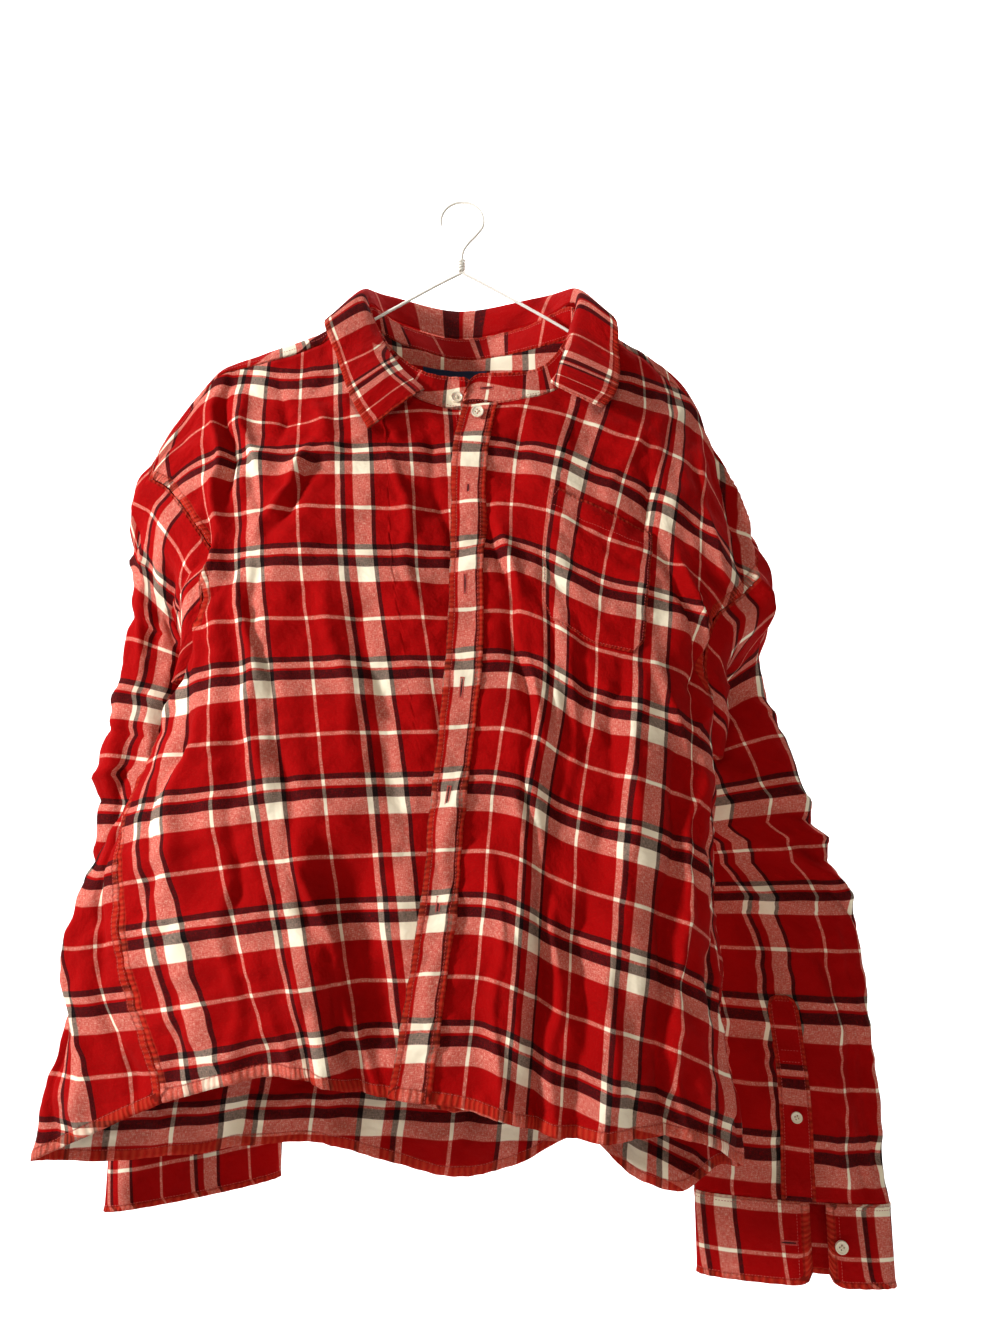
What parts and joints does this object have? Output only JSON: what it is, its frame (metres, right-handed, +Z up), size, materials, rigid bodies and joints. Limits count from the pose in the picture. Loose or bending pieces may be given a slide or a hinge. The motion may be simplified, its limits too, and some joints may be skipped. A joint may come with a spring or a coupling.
{
  "type": "flannel shirt on a wire hanger",
  "caption": "Long-sleeved button-front flannel shirt with chest pocket, hanging from a wire hanger's hook.",
  "frame": {"origin": "underside of the top of the hanger's hook, where a rail carries it", "axes": "+Z up, -Y towards the shirt's front, +X towards the wearer's left"},
  "size_m": [0.7671, 0.2078, 1.0496],
  "materials": {
    "flannel": "brushed cotton twill, woven in a red, pink, cream and near-black check",
    "label": "plain navy satin weave",
    "button": "cream polyester, polished",
    "wire": "white vinyl-coated steel wire"
  },
  "bodies": {
    "root": {"front_right": "flannel", "front_left": "flannel", "back": "flannel", "yoke": "flannel", "placket": "flannel", "pocket": "flannel", "label": "label", "collar_band": "flannel", "collar_leaf": "flannel", "sleeve_right": "flannel", "sleeve_left": "flannel", "cuff_right": "flannel", "cuff_left": "flannel", "sleeve_placket_right": "flannel", "sleeve_placket_left": "flannel", "button_top": "button", "button_neck": "button", "button_front_1": "button", "button_front_2": "button", "button_front_3": "button", "button_front_4": "button", "button_front_5": "button", "button_cuff_right": "button", "button_cuff_left": "button", "button_sleeve_right": "button", "button_sleeve_left": "button", "hanger_frame": "wire", "hanger_hook": "wire"}
  },
  "joints": []
}
